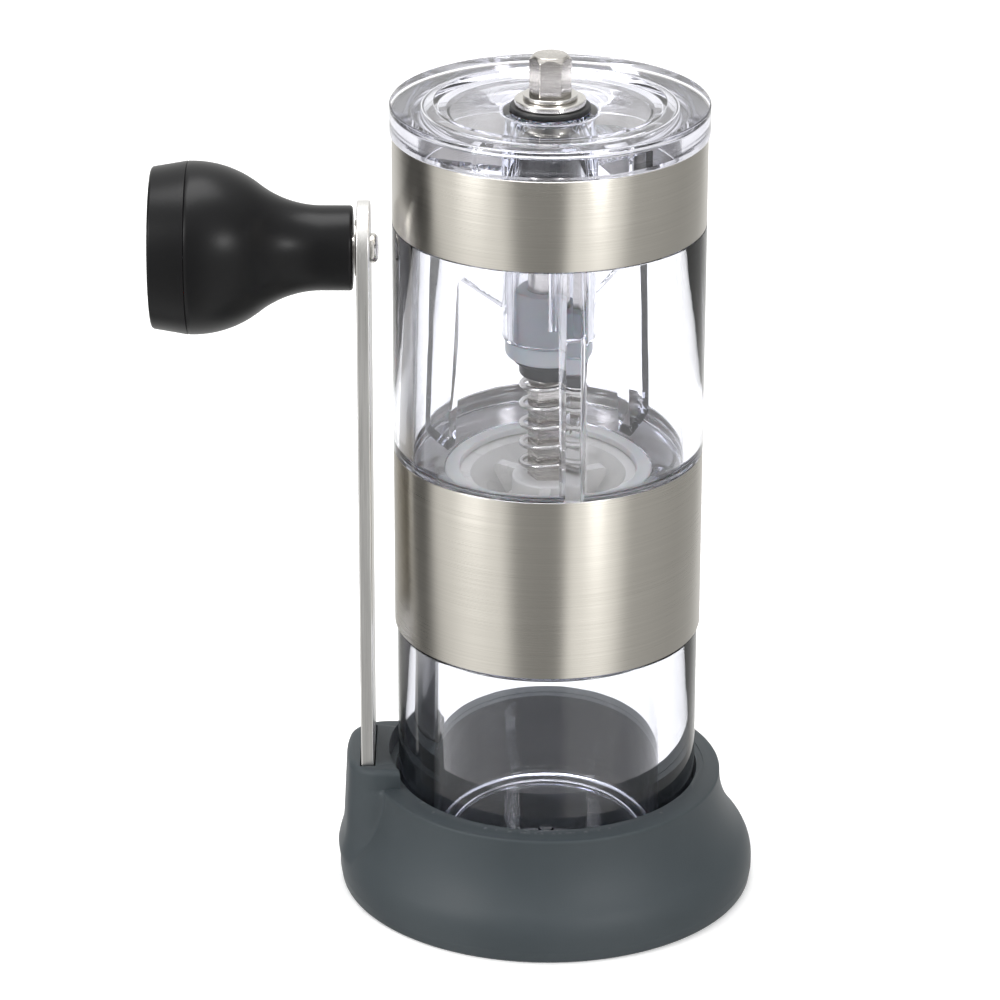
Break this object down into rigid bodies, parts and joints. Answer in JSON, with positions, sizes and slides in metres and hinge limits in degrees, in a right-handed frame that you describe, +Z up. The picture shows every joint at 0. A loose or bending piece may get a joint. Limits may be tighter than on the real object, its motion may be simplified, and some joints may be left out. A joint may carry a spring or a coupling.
{
  "type": "hand crank coffee grinder",
  "caption": "Upright hand coffee grinder with clear hopper and jar, steel bands, conical burrs and a flat crank stored in the slot of its rubber foot.",
  "frame": {"origin": "on the grinding axis, in the plane of the foot's underside", "axes": "+Z up along the grinding axis; the stored crank stands on the -X side with its knob pointing to -X"},
  "size_m": [0.1176, 0.0826, 0.171],
  "materials": {
    "foot": "satin moulded rubber, slate grey",
    "jar": "clear polished plastic",
    "jar_seal": "soft pale silicone",
    "hopper": "clear polished plastic",
    "lower_band": "brushed round the axis",
    "upper_band": "brushed round the axis",
    "lid": "clear polished plastic",
    "upper_bush": "black moulded plastic",
    "lower_bush": "translucent pale plastic",
    "burr_carrier": "white moulded plastic",
    "carrier_screws": "plain steel",
    "outer_burr": "white ceramic",
    "burr_snap_ring": "spring steel",
    "drive_shaft": "bright turned and milled steel",
    "shaft_washer": "bright steel",
    "shaft_clip": "spring steel",
    "drive_sleeve": "black moulded plastic",
    "spring": "bright spring wire",
    "inner_burr": "white ceramic with moulded hub",
    "click_plate": "plain steel",
    "adjuster_dial": "black moulded plastic",
    "crank_arm": "nickel plated flat bar",
    "knob_pin": "bright rivet",
    "knob_washer": "bright washer",
    "knob_retainer": "push-on washer",
    "knob_body": "satin black plastic",
    "knob_cap": "satin black plastic"
  },
  "bodies": {
    "base": {"foot": "foot"},
    "jar": {"jar": "jar", "jar_seal": "jar_seal"},
    "grinder": {"hopper": "hopper", "lower_band": "lower_band", "upper_band": "upper_band", "upper_bush": "upper_bush", "lower_bush": "lower_bush", "burr_carrier": "burr_carrier", "carrier_screws": "carrier_screws", "outer_burr": "outer_burr", "burr_snap_ring": "burr_snap_ring"},
    "lid": {"lid": "lid"},
    "drive": {"drive_shaft": "drive_shaft", "shaft_washer": "shaft_washer", "shaft_clip": "shaft_clip", "drive_sleeve": "drive_sleeve", "spring": "spring"},
    "burr_set": {"inner_burr": "inner_burr", "click_plate": "click_plate"},
    "adjuster": {"adjuster_dial": "adjuster_dial"},
    "crank": {"crank_arm": "crank_arm", "knob_pin": "knob_pin", "knob_washer": "knob_washer", "knob_retainer": "knob_retainer"},
    "knob": {"knob_body": "knob_body", "knob_cap": "knob_cap"}
  },
  "joints": [
    {"name": "jar_lift", "type": "slide", "parent": "base", "child": "jar", "axis": [0, 0, 1], "range_m": [0, 0.03]},
    {"name": "grinder_lift", "type": "slide", "parent": "jar", "child": "grinder", "axis": [0, 0, 1], "range_m": [0, 0.03]},
    {"name": "lid_lift", "type": "slide", "parent": "grinder", "child": "lid", "axis": [0, 0, 1], "range_m": [0, 0.03]},
    {"name": "drive_turn", "type": "hinge", "parent": "grinder", "child": "drive", "pos_m": [0, 0, 0.12], "axis": [0, 0, 1], "continuous": true},
    {"name": "burr_rise", "type": "slide", "parent": "drive", "child": "burr_set", "axis": [0, 0, 1], "range_m": [0, 0.0016], "deforming": ["spring"]},
    {"name": "adjuster_turn", "type": "hinge", "parent": "burr_set", "child": "adjuster", "pos_m": [0, 0, 0.0615], "axis": [0, 0, 1], "range_deg": [0, 720]},
    {"name": "crank_lift", "type": "slide", "parent": "base", "child": "crank", "axis": [0, 0, 1], "range_m": [0, 0.03]},
    {"name": "knob_turn", "type": "hinge", "parent": "crank", "child": "knob", "pos_m": [-0.05, 0, 0.1324], "axis": [1, 0, 0], "continuous": true}
  ],
  "couplings": [
    {"joint": "adjuster_turn", "follows": "burr_rise", "rad_per_m": 7850}
  ]
}
